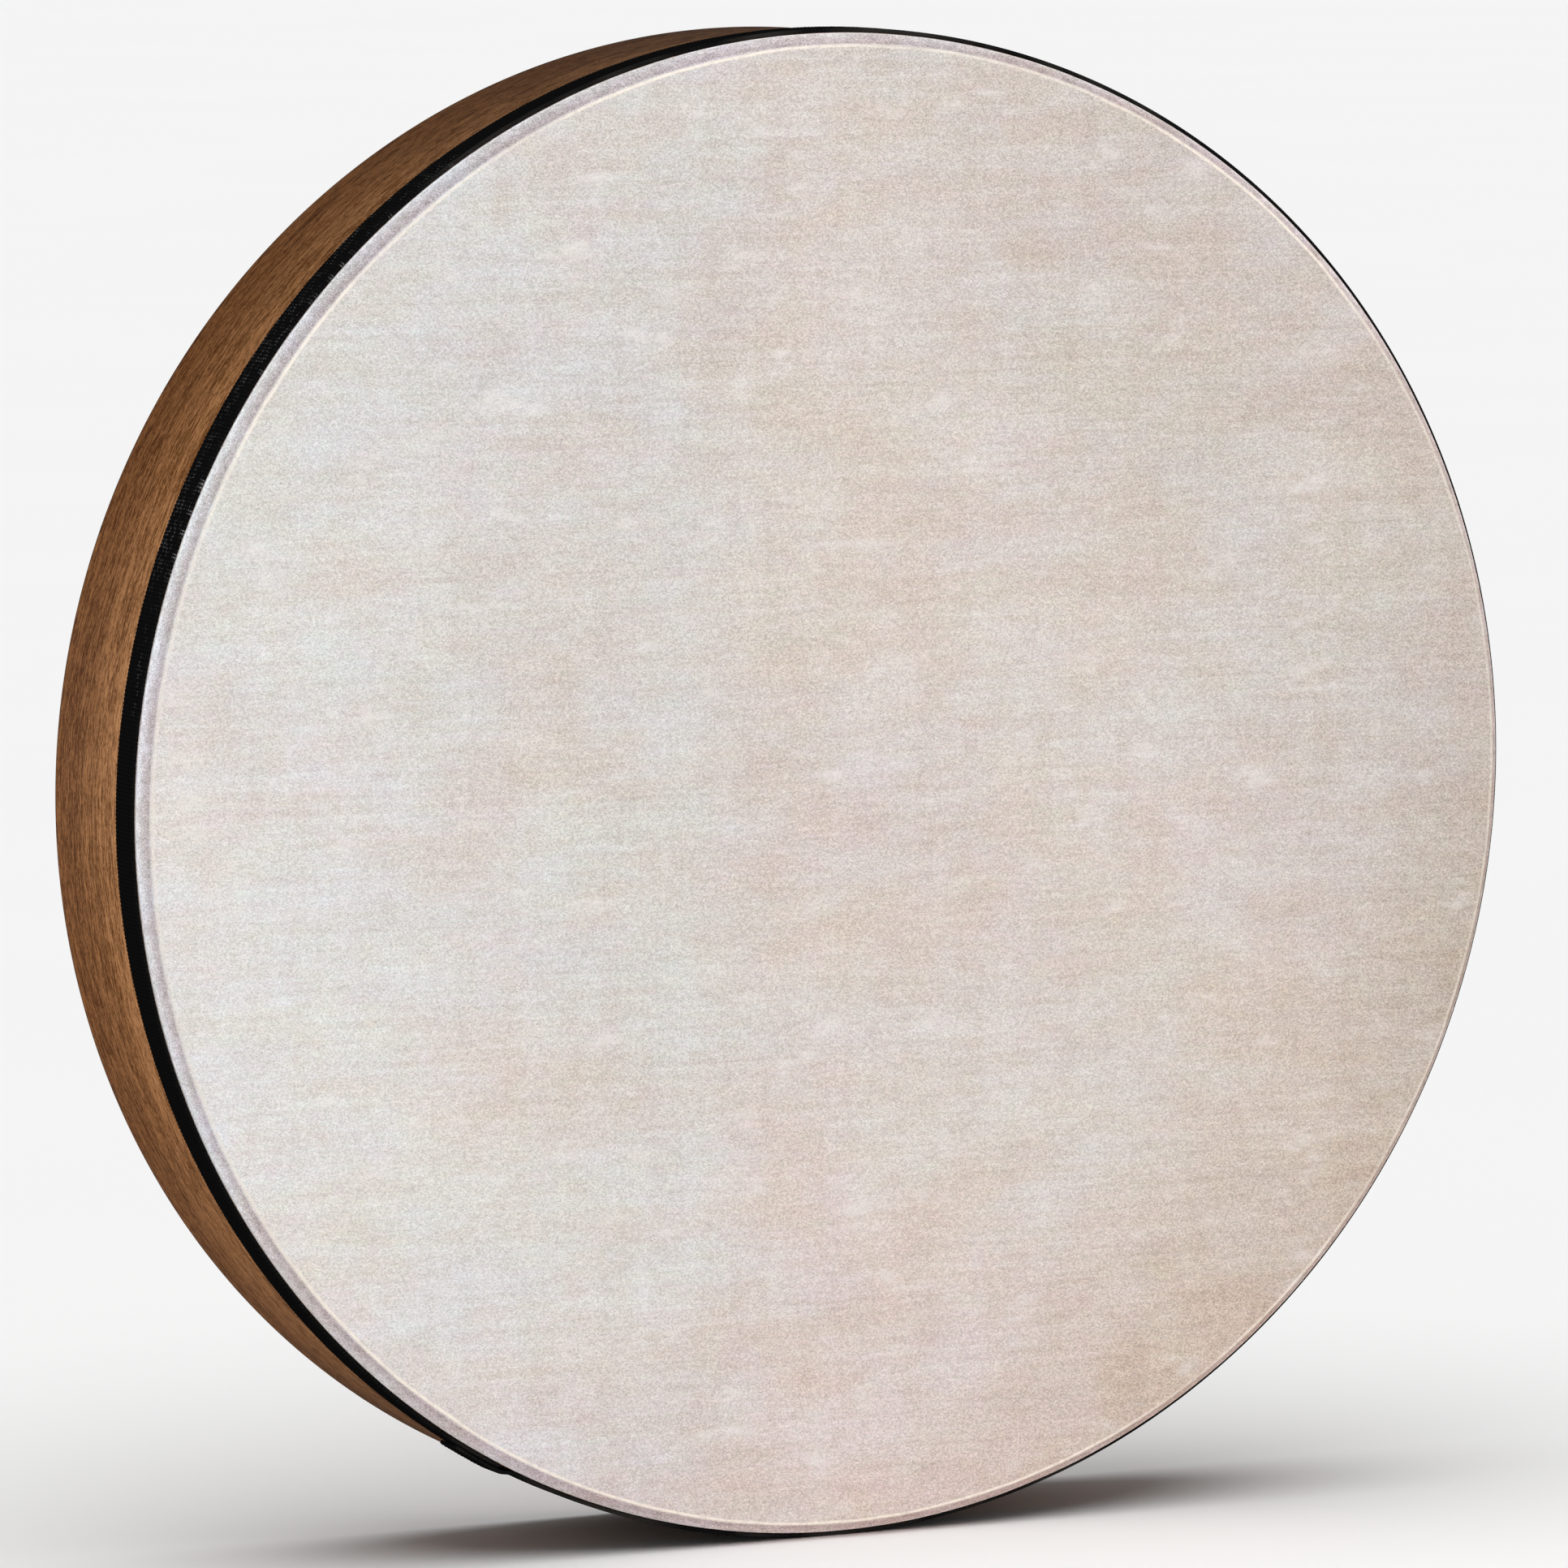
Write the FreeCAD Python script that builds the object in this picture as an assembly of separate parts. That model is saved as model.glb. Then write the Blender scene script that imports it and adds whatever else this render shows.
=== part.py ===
import FreeCAD, Part

import math
import os

# A frame drum with a fixed head: a ring of bent wood plies, a film head glued over its front
# edge, and a woven ribbon glued over the end of the head's skirt. Nothing on it moves.
#
# The drum stands upright on its rim. Its axis is +Y, the head faces -Y, the open back faces +Y
# and +Z is up. The origin is on the axis, halfway through the drum's depth. Sizes are in mm.
#
# A place in the ring's cross-section is a radius from the axis and a depth behind the head's
# playing face. An angle round the ring is counted from +X towards +Z.

INCH = 25.4

# Overall size
head_diameter = 16.0 * INCH     # across the head's skirt
drum_depth = 2.5 * INCH         # from the playing face to the back rim

# Shell
ply_nodes = (
    "shell_outer_ply",
    "shell_core_ply_1",
    "shell_core_ply_2",
    "shell_core_ply_3",
    "shell_core_ply_4",
    "shell_inner_ply",
)
ply_thickness = 1.2
seam_gap = 0.1                  # between the two ends of one bent ply
first_seam_angle = 285.0        # of the outer ply
seam_step = 150.0               # from one ply's seam to the next one's

# Bearing edge, where the head turns over the shell
crest_setback = 3.4             # from the skirt's outer face in to the crest's highest line
crest_round = 0.7
bevel_angle = 45.0              # of both slopes beside the crest
outer_edge_round = 4.5
inner_edge_round = 1.0
back_edge_round = 1.0

# Head
head_thickness = 0.35
shoulder_round = 5.0            # of the head's outer face, between bevel and skirt
skirt_end = 13.5                # depth of the skirt's free edge

# Ribbon
ribbon_start = 5.2              # depth of the ribbon's front edge
ribbon_width = 10.8
ribbon_thickness = 1.2
lap_angle = 237.0               # of the ribbon's upper end
lap_length = 14.0               # the ribbon's upper end covers this much of its lower end
lap_ramp_length = 5.0           # over which the ribbon climbs onto its lower end
lap_clearance = 0.1

# Glue
glue_thickness = 0.15
head_glue_start = 5.1           # depth of the front edge of the glue under the skirt
glue_inset = 0.5                # of a glue band's edges from the edges of what it holds

# Radii and depths that follow from these
skirt_radius = head_diameter / 2
shell_radius = skirt_radius - head_thickness - glue_thickness
bore_radius = shell_radius - len(ply_nodes) * ply_thickness
crest_radius = skirt_radius - crest_setback
ribbon_inner_radius = skirt_radius + glue_thickness
ribbon_end = ribbon_start + ribbon_width
bevel = math.radians(bevel_angle)
bevel_slope = math.tan(bevel)
playing_face_y = -drum_depth / 2

centre = FreeCAD.Vector(0, 0, 0)
drum_axis = FreeCAD.Vector(0, 1, 0)


def section_point(radius, depth):
    """A point of the cross-section, in the plane through the axis and +X."""
    return FreeCAD.Vector(radius, playing_face_y + depth, 0)


def rounded_outline(corners):
    """The closed outline through corners of (radius, depth, round)."""
    places = [section_point(radius, depth) for radius, depth, _ in corners]
    starts, ends, edges = [], [], []
    for index, (_, _, corner_round) in enumerate(corners):
        here = places[index]
        back = (places[index - 1] - here).normalize()
        ahead = (places[(index + 1) % len(places)] - here).normalize()
        half_angle = back.getAngle(ahead) / 2
        reach = corner_round / math.tan(half_angle)
        starts.append(here + back * reach)
        ends.append(here + ahead * reach)
        if corner_round > 0:
            inward = (back + ahead).normalize()
            middle = here + inward * (corner_round / math.sin(half_angle) - corner_round)
            edges.append(Part.Arc(starts[index], middle, ends[index]).toShape())
    for index in range(len(corners)):
        edges.append(Part.LineSegment(ends[index - 1], starts[index]).toShape())
    return Part.Wire(Part.__sortEdges__(edges))


def turned(corners):
    """The solid of revolution about the drum's axis with this cross-section."""
    return Part.Face(rounded_outline(corners)).revolve(centre, drum_axis, 360)


def bevel_depth(radius, crest_offset):
    """Depth at a radius on the outer bevel of a surface this far outside the shell's crest."""
    bend_round = crest_round + crest_offset
    bevel_top_radius = crest_radius + bend_round * math.tan(bevel / 2)
    return head_thickness - crest_offset + (radius - bevel_top_radius) * bevel_slope


def shell_blank():
    """The whole shell with its bearing edge and back edge cut, before it is split into plies."""
    crest_corner_depth = head_thickness + crest_round - crest_round / math.cos(bevel)
    inner_bevel_end = crest_corner_depth + (crest_radius - bore_radius) * bevel_slope
    return turned([
        (bore_radius, inner_bevel_end, inner_edge_round),
        (crest_radius, crest_corner_depth, crest_round),
        (shell_radius, bevel_depth(shell_radius, 0), outer_edge_round),
        (shell_radius, drum_depth, back_edge_round),
        (bore_radius, drum_depth, back_edge_round),
    ])


def tube(outer_radius, inner_radius):
    """A tube about the axis, longer than the drum is deep."""
    base = section_point(0, -1)
    length = drum_depth + 2
    outer = Part.makeCylinder(outer_radius, length, base, drum_axis)
    return outer.cut(Part.makeCylinder(inner_radius, length, base, drum_axis))


def seam_cut(angle):
    """The gap between the two ends of a bent ply, as a thin slab that faces round the ring."""
    wall = shell_radius - bore_radius
    corner = FreeCAD.Vector(bore_radius - wall, playing_face_y - 1, -seam_gap / 2)
    slab = Part.makeBox(3 * wall, drum_depth + 2, seam_gap, corner)
    slab.rotate(centre, drum_axis, -angle)
    return slab


def shell_ply(blank, number):
    """One bent layer of the shell, counted from the outside, with its own butt seam."""
    outer_radius = shell_radius - number * ply_thickness
    layer = blank.common(tube(outer_radius, outer_radius - ply_thickness))
    return layer.cut(seam_cut(first_seam_angle + number * seam_step))


def drum_head():
    """The film: a flat playing face that turns over the crest, down the bevel and into a skirt."""
    inner_radius = skirt_radius - head_thickness
    outer_bend = crest_round + head_thickness
    return turned([
        (0, 0, 0),
        (crest_radius + outer_bend * math.tan(bevel / 2), 0, outer_bend),
        (skirt_radius, bevel_depth(skirt_radius, head_thickness), shoulder_round),
        (skirt_radius, skirt_end, 0),
        (inner_radius, skirt_end, 0),
        (inner_radius, bevel_depth(inner_radius, 0), shoulder_round - head_thickness),
        (crest_radius + crest_round * math.tan(bevel / 2), head_thickness, crest_round),
        (0, head_thickness, 0),
    ])


def head_glue():
    """The glue between the shell's outer face and the head's skirt."""
    outer_radius = shell_radius + glue_thickness
    return turned([
        (shell_radius, head_glue_start, 0),
        (outer_radius, head_glue_start, 0),
        (outer_radius, skirt_end - glue_inset, 0),
        (shell_radius, skirt_end - glue_inset, 0),
    ])


def ribbon_glue():
    """The glue under the ribbon, which also fills the step at the skirt's free edge."""
    front = ribbon_start + glue_inset
    rear = ribbon_end - glue_inset
    return turned([
        (skirt_radius, front, 0),
        (ribbon_inner_radius, front, 0),
        (ribbon_inner_radius, rear, 0),
        (shell_radius, rear, 0),
        (shell_radius, skirt_end, 0),
        (skirt_radius, skirt_end, 0),
    ])


def rim_point(radius, angle):
    """A point of the ribbon's outline, in the plane of the ribbon's front edge."""
    turn = math.radians(angle)
    y = playing_face_y + ribbon_start
    return FreeCAD.Vector(radius * math.cos(turn), y, radius * math.sin(turn))


def rim_arc(radius, start_angle, end_angle):
    """A round stretch of the ribbon's outline."""
    middle_angle = (start_angle + end_angle) / 2
    return Part.Arc(
        rim_point(radius, start_angle),
        rim_point(radius, middle_angle),
        rim_point(radius, end_angle),
    ).toShape()


def edge_ribbon():
    """The woven ribbon: once round the rim, then its end climbs over its own start."""
    degrees_per_mm = 360.0 / (2 * math.pi * skirt_radius)
    climb_start = lap_angle + lap_length * degrees_per_mm
    climb_end = climb_start + lap_ramp_length * degrees_per_mm
    lower_end = lap_angle + 360 + (lap_length - lap_clearance) * degrees_per_mm
    lift = ribbon_thickness + lap_clearance
    edges = []
    side_radii = (ribbon_inner_radius, ribbon_inner_radius + ribbon_thickness)
    for radius in side_radii:
        upper = rim_point(radius + lift, climb_start)
        lower = rim_point(radius, climb_end)
        edges.append(rim_arc(radius + lift, lap_angle, climb_start))
        edges.append(Part.LineSegment(upper, lower).toShape())
        edges.append(rim_arc(radius, climb_end, lower_end))
    for angle, rise in ((lap_angle, lift), (lower_end, 0)):
        inner, outer = (rim_point(radius + rise, angle) for radius in side_radii)
        edges.append(Part.LineSegment(inner, outer).toShape())
    outline = Part.Wire(Part.__sortEdges__(edges))
    return Part.Face(outline).extrude(drum_axis * ribbon_width)


def build():
    """Every piece of the drum, by node name."""
    blank = shell_blank()
    pieces = {node: shell_ply(blank, number) for number, node in enumerate(ply_nodes)}
    pieces["drum_head"] = drum_head()
    pieces["head_glue"] = head_glue()
    pieces["ribbon_glue"] = ribbon_glue()
    pieces["edge_ribbon"] = edge_ribbon()
    return pieces


os.makedirs("parts", exist_ok=True)
for node, piece in build().items():
    piece.exportStep("parts/" + node + ".step")
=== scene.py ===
import math

import bpy
import numpy as np
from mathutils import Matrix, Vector


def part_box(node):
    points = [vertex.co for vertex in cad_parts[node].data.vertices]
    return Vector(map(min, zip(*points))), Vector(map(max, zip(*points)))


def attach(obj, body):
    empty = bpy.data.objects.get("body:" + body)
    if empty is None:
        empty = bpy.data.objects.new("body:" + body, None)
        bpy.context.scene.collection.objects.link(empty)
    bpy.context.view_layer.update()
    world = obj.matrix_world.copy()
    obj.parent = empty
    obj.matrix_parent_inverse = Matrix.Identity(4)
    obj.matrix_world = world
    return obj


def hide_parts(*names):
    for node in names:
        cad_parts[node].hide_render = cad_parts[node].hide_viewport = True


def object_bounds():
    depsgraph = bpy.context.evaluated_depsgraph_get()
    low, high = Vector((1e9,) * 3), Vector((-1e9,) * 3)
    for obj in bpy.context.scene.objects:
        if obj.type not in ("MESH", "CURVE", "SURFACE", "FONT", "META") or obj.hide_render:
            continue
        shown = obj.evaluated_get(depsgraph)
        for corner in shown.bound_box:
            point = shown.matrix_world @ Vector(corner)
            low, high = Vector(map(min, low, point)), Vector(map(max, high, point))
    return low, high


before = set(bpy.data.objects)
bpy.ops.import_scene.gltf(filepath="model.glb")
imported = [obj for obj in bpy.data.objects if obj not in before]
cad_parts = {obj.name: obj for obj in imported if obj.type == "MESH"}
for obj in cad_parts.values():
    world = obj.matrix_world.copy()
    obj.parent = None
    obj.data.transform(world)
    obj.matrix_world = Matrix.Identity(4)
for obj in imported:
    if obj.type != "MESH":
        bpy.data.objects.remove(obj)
cad_low, cad_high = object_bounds()

# The looks of the frame drum: the wood plies, the film head and the woven edge ribbon, each built
# as a fine mesh over its CAD node and given a procedural material.
#
# Cross-sections are in millimetres, as (radius from the axis, depth behind the playing face).
# An angle round the rim is in degrees, counted from +X towards +Z.

MM = 0.001
SEED = 16

# ---------------------------------------------------------------- sizes from the frame


def node_size(node):
    """A node's outer radius, and the depths at which it starts and ends, in mm."""
    low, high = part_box(node)
    playing_face_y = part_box("drum_head")[0].y
    radius = (high.z - low.z) / 2
    return radius / MM, (low.y - playing_face_y) / MM, (high.y - playing_face_y) / MM


PLAYING_FACE_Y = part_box("drum_head")[0].y
SKIRT_RADIUS, _, SKIRT_END = node_size("drum_head")
PLY_NODES = [
    "shell_outer_ply",
    "shell_core_ply_1",
    "shell_core_ply_2",
    "shell_core_ply_3",
    "shell_core_ply_4",
    "shell_inner_ply",
]
PLY_RADII = [node_size(node)[0] for node in PLY_NODES]
PLY_THICKNESS = (PLY_RADII[0] - PLY_RADII[-1]) / (len(PLY_NODES) - 1)
SHELL_RADIUS = PLY_RADII[0]
BORE_RADIUS = PLY_RADII[-1] - PLY_THICKNESS
RIBBON_RADIUS, RIBBON_START, RIBBON_END = node_size("edge_ribbon")
GLUE_RADIUS = node_size("ribbon_glue")[0]
DRUM_DEPTH = (cad_high.y - cad_low.y) / MM

# ---------------------------------------------------------------- sizes of the fine shapes

HEAD_THICKNESS = 0.35
CREST_SETBACK = 3.4         # from the skirt's outer face in to the crest's highest line
CREST_ROUND = 0.7
BEVEL = math.radians(45)
SHOULDER_ROUND = 5.0
OUTER_EDGE_ROUND = 4.5
INNER_EDGE_ROUND = 1.0
BACK_EDGE_ROUND = 1.0
HEAD_MIDDLE_RADIUS = 2.0    # of the smallest ring of the flat face's mesh
HEAD_FINE_MARGIN = 4.0      # how far inside the crest the flat face's coarse rings end
HEAD_RINGS = 20             # of the coarse part
HEAD_TURNS = 512            # mesh steps round the head
HEAD_STEP = 1.5             # the longest mesh step across the rim of the head
PLY_TURNS = 540             # mesh steps round a ply
PLY_STEP = 5.0              # the longest mesh step across a ply
SKIRT_WAVE = 0.1            # how far the skirt is drawn in between its tightest places
SKIRT_CUT_WAVE = 0.3        # how unevenly the skirt's free edge was cut
PLY_EDGE_EASE = 0.08        # the small break of a ply's own corners, so that glue lines show
SEAM_GAP = 0.1
FIRST_SEAM_ANGLE = 285.0
SEAM_STEP = 150.0

RIB_PITCH = 1.09            # between the ribs that run across the ribbon
RIB_SHAPE = (0.0, 0.78, 1.0, 0.78)      # a rib's height at each mesh step, of its full height
RIB_DEPTH = 0.16
YARN_PITCH = 0.42           # between the fine yarns that run along the ribbon
EDGE_TOOTH = 0.20           # how far each rib's loop stands out of the ribbon's edge
RIBBON_WANDER = 0.16        # the ribbon was laid by hand, so it drifts a little to either side
LAP_ANGLE = 237.0
LAP_LENGTH = 14.0
LAP_RAMP_LENGTH = 5.0
LAP_CLEARANCE = 0.1

CREST_RADIUS = SKIRT_RADIUS - CREST_SETBACK
RIM_LENGTH = 2 * math.pi * SKIRT_RADIUS

# ---------------------------------------------------------------- outlines


def rounded(corners, steps=6):
    """The outline through corners of (radius, depth, round), with each round as short steps."""
    outline = []
    for index, (radius, depth, corner_round) in enumerate(corners):
        here = np.array((radius, depth), float)
        if corner_round == 0:
            outline.append(here)
            continue
        back = np.array(corners[index - 1][:2], float) - here
        ahead = np.array(corners[(index + 1) % len(corners)][:2], float) - here
        back /= np.linalg.norm(back)
        ahead /= np.linalg.norm(ahead)
        half_angle = math.acos(float(back @ ahead)) / 2
        inward = (back + ahead) / np.linalg.norm(back + ahead)
        middle = here + inward * corner_round / math.sin(half_angle)
        across = back - ahead
        across /= np.linalg.norm(across)
        swing = math.pi / 2 - half_angle
        for step in range(steps + 1):
            turn = swing * (1 - 2 * step / steps)
            outline.append(middle + corner_round * (across * math.sin(turn) - inward * math.cos(turn)))
    return outline


def clipped(outline, limit, keep_inside):
    """The part of a closed outline on one side of a radius."""
    sign = 1 if keep_inside else -1
    kept = []
    for index, here in enumerate(outline):
        before = outline[index - 1]
        gap_here = sign * (limit - here[0])
        gap_before = sign * (limit - before[0])
        if gap_here * gap_before < 0:
            kept.append(before + (here - before) * gap_before / (gap_before - gap_here))
        if gap_here >= 0:
            kept.append(here)
    return kept


def eased(outline, amount, sharpest=math.radians(25)):
    """The outline with each sharp corner cut back a little."""
    result = []
    for index, here in enumerate(outline):
        back = outline[index - 1] - here
        ahead = outline[(index + 1) % len(outline)] - here
        back_length = np.linalg.norm(back)
        ahead_length = np.linalg.norm(ahead)
        if min(back_length, ahead_length) < 1e-6:
            continue
        turn = math.pi - math.acos(np.clip(back @ ahead / (back_length * ahead_length), -1, 1))
        if turn < sharpest:
            result.append(here)
            continue
        result.append(here + back * min(amount / back_length, 0.4))
        result.append(here + ahead * min(amount / ahead_length, 0.4))
    return result


def resampled(outline, longest, closed=True):
    """The outline with its long stretches divided. An open one isn't joined end to start."""
    result = []
    for index, here in enumerate(outline):
        if index == len(outline) - 1 and not closed:
            result.append(here)
            break
        ahead = outline[(index + 1) % len(outline)]
        parts = max(1, math.ceil(np.linalg.norm(ahead - here) / longest))
        result.extend(here + (ahead - here) * part / parts for part in range(parts))
    return result


def bevel_depth(radius, crest_offset):
    """Depth at a radius on the outer bevel of a surface this far outside the shell's crest."""
    bevel_top_radius = CREST_RADIUS + (CREST_ROUND + crest_offset) * math.tan(BEVEL / 2)
    return HEAD_THICKNESS - crest_offset + (radius - bevel_top_radius) * math.tan(BEVEL)


def shell_outline():
    """The whole shell's cross-section, before it is divided into plies."""
    crest_corner_depth = HEAD_THICKNESS + CREST_ROUND - CREST_ROUND / math.cos(BEVEL)
    inner_bevel_end = crest_corner_depth + (CREST_RADIUS - BORE_RADIUS) * math.tan(BEVEL)
    return rounded([
        (BORE_RADIUS, inner_bevel_end, INNER_EDGE_ROUND),
        (CREST_RADIUS, crest_corner_depth, CREST_ROUND),
        (SHELL_RADIUS, bevel_depth(SHELL_RADIUS, 0), OUTER_EDGE_ROUND),
        (SHELL_RADIUS, DRUM_DEPTH, BACK_EDGE_ROUND),
        (BORE_RADIUS, DRUM_DEPTH, BACK_EDGE_ROUND),
    ])


# ---------------------------------------------------------------- meshes


def placed(radius, depth, angle):
    """Points of the row frame, in metres, from radii, depths and angles."""
    radius, depth, angle = np.broadcast_arrays(radius, depth, np.radians(angle))
    x = radius * MM * np.cos(angle)
    y = PLAYING_FACE_Y + depth * MM
    z = radius * MM * np.sin(angle)
    return np.stack([x, y, z], axis=-1)


def new_piece(name, points, faces, node, material, uv=None):
    """A smooth-shaded piece on the drum's body that stands for a CAD node."""
    mesh = bpy.data.meshes.new(name)
    mesh.from_pydata(points.tolist(), [], faces)
    mesh.polygons.foreach_set("use_smooth", [True] * len(mesh.polygons))
    if uv is not None:
        corner_vertices = np.zeros(len(mesh.loops), np.int32)
        mesh.loops.foreach_get("vertex_index", corner_vertices)
        layer = mesh.uv_layers.new(name="weave")
        layer.data.foreach_set("uv", uv[corner_vertices].astype(np.float32).ravel())
    mesh.materials.append(material)
    mesh.update()
    piece = bpy.data.objects.new(name, mesh)
    bpy.context.scene.collection.objects.link(piece)
    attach(piece, "root")
    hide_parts(node)
    return piece


def swept_faces(around, across):
    """Faces of a capped tube that joins around sections of across points each."""
    faces = []
    for section in range(around - 1):
        here = section * across
        there = here + across
        for point in range(across):
            neighbour = (point + 1) % across
            faces.append((here + point, here + neighbour, there + neighbour, there + point))
    faces.append(tuple(reversed(range(across))))
    faces.append(tuple(range((around - 1) * across, around * across)))
    return faces


def waves(angle, counts, seed):
    """A smooth closed wander round the rim, between about -1 and 1."""
    draw = np.random.default_rng(SEED + seed)
    total = np.zeros_like(angle, dtype=float)
    for count in counts:
        strength = draw.uniform(0.5, 1.0)
        total += strength * np.sin(np.radians(angle) * count + draw.uniform(0, 2 * math.pi))
    return total / len(counts)


def build_ply(number, node, material):
    """One bent ply: its cross-section swept from one side of its butt seam to the other."""
    outer_radius = PLY_RADII[number]
    outline = clipped(shell_outline(), outer_radius, keep_inside=True)
    outline = clipped(outline, outer_radius - PLY_THICKNESS, keep_inside=False)
    outline = np.array(resampled(eased(outline, PLY_EDGE_EASE), PLY_STEP))
    half_seam = math.degrees(SEAM_GAP / 2 / outer_radius)
    seam_angle = FIRST_SEAM_ANGLE + number * SEAM_STEP
    angles = np.linspace(seam_angle + half_seam, seam_angle + 360 - half_seam, PLY_TURNS + 1)
    points = placed(outline[None, :, 0], outline[None, :, 1], angles[:, None])
    faces = swept_faces(len(angles), len(outline))
    return new_piece(node + "_wood", points.reshape(-1, 3), faces, node, material)


def head_section():
    """The film's cross-section, from the middle of its front out round the skirt and back."""
    inner_radius = SKIRT_RADIUS - HEAD_THICKNESS
    outer_bend = CREST_ROUND + HEAD_THICKNESS
    flat_edge = CREST_RADIUS - HEAD_FINE_MARGIN
    rim = rounded([
        (flat_edge, 0, 0),
        (CREST_RADIUS + outer_bend * math.tan(BEVEL / 2), 0, outer_bend),
        (SKIRT_RADIUS, bevel_depth(SKIRT_RADIUS, HEAD_THICKNESS), SHOULDER_ROUND),
        (SKIRT_RADIUS, SKIRT_END, 0),
        (inner_radius, SKIRT_END, 0),
        (inner_radius, bevel_depth(inner_radius, 0), SHOULDER_ROUND - HEAD_THICKNESS),
        (CREST_RADIUS + CREST_ROUND * math.tan(BEVEL / 2), HEAD_THICKNESS, CREST_ROUND),
        (flat_edge, HEAD_THICKNESS, 0),
    ])
    rim = resampled(rim, HEAD_STEP, closed=False)
    flat_radii = np.linspace(HEAD_MIDDLE_RADIUS, flat_edge, HEAD_RINGS, endpoint=False)
    front = [np.array((radius, 0.0)) for radius in flat_radii]
    back = [np.array((radius, HEAD_THICKNESS)) for radius in flat_radii[::-1]]
    return np.array(front + rim + back)


def build_head(material):
    """The film: a flat playing face, a crest, a bevel and a skirt that isn't quite even."""
    section = head_section()
    angles = np.arange(HEAD_TURNS) * 360 / HEAD_TURNS
    radius = np.repeat(section[None, :, 0], HEAD_TURNS, axis=0)
    depth = np.repeat(section[None, :, 1], HEAD_TURNS, axis=0)
    off_flat = np.clip((radius - CREST_RADIUS) / CREST_SETBACK, 0, 1)
    pull = waves(angles, (7, 11, 18, 29, 46), seed=1)
    radius += SKIRT_WAVE * off_flat * np.minimum(pull, 0)[:, None]
    free_edge = np.clip((depth - SKIRT_END + 2) / 2, 0, 1)
    depth += SKIRT_CUT_WAVE * free_edge * waves(angles, (5, 9, 23, 37), seed=2)[:, None]
    points = placed(radius, depth, angles[:, None])
    across = len(section)
    front_middle = HEAD_TURNS * across
    back_middle = front_middle + 1
    faces = []
    for turn in range(HEAD_TURNS):
        here = turn * across
        there = (turn + 1) % HEAD_TURNS * across
        faces.extend((here + p, here + p + 1, there + p + 1, there + p) for p in range(across - 1))
        faces.append((here, there, front_middle))
        faces.append((there + across - 1, here + across - 1, back_middle))
    middles = placed(np.zeros(2), np.array((0, HEAD_THICKNESS)), 0)
    points = np.concatenate([points.reshape(-1, 3), middles])
    return new_piece("drum_head_film", points, faces, "drum_head", material)


def ribbon_section():
    """The ribbon's closed cross-section as (distance from its front edge, height over its underside,
    share of the ribs' depth that shows there, share of the edge loops that shows there). It runs
    from the front round to the underside, which turns the faces outward."""
    width = RIBBON_END - RIBBON_START
    thick = RIBBON_RADIUS - GLUE_RADIUS
    underside = [(0.3, 0, 0, 0), (width / 2, 0, 0, 0), (width - 0.3, 0, 0, 0)]
    rear = [
        (width - 0.02, 0.25 * thick, 0, 1),
        (width, 0.6 * thick, 0.3, 1),
        (width - 0.18, 0.9 * thick, 0.8, 0.8),
    ]
    top = [(w, thick, 1, 0) for w in np.linspace(width - 0.6, 1.15, 9)]
    front = [
        (0.75, 1.00 * thick, 0.5, 0),
        (0.42, 0.98 * thick, 0.15, 0),
        (0.15, 0.84 * thick, 0.1, 0),
        (0.0, 0.55 * thick, 0.1, -0.8),
        (0.06, 0.15 * thick, 0, -1),
    ]
    return np.array(underside + rear + top + front)[::-1]


def build_ribbon(material):
    """The woven ribbon: ribs across it, a loop of yarn at the end of each rib, and its lap."""
    section = ribbon_section()
    total = RIM_LENGTH + LAP_LENGTH - LAP_CLEARANCE
    along = np.arange(0, total, RIB_PITCH / len(RIB_SHAPE))
    angle = LAP_ANGLE + along * 360 / RIM_LENGTH
    rib = np.array(RIB_SHAPE)[np.arange(len(along)) % len(RIB_SHAPE)]
    draw = np.random.default_rng(SEED + 3)
    rib_number = np.arange(len(along)) // len(RIB_SHAPE)
    rib_height = draw.uniform(0.75, 1.0, rib_number[-1] + 1)[rib_number]
    tooth = draw.uniform(0.5, 1.0, rib_number[-1] + 1)[rib_number]
    climb = np.clip((along - LAP_LENGTH) / LAP_RAMP_LENGTH, 0, 1)
    lift = (RIBBON_RADIUS - GLUE_RADIUS + LAP_CLEARANCE) * (1 - climb * climb * (3 - 2 * climb))
    height = section[None, :, 1] - RIB_DEPTH * section[None, :, 2] * (1 - rib * rib_height)[:, None]
    drift = RIBBON_WANDER * waves(angle, (1, 2, 5, 12), seed=4)
    depth = RIBBON_START + section[None, :, 0] + drift[:, None]
    depth = depth + EDGE_TOOTH * section[None, :, 3] * (rib * tooth)[:, None]
    radius = GLUE_RADIUS + lift[:, None] + height
    points = placed(radius, depth, angle[:, None])
    ribs = (along / RIB_PITCH)[:, None]
    yarns = section[None, :, 0] / YARN_PITCH
    uv = np.stack(np.broadcast_arrays(ribs, yarns), axis=-1).reshape(-1, 2)
    faces = swept_faces(len(along), len(section))
    return new_piece("edge_ribbon_weave", points.reshape(-1, 3), faces, "edge_ribbon", material, uv)


# ---------------------------------------------------------------- material tools


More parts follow.
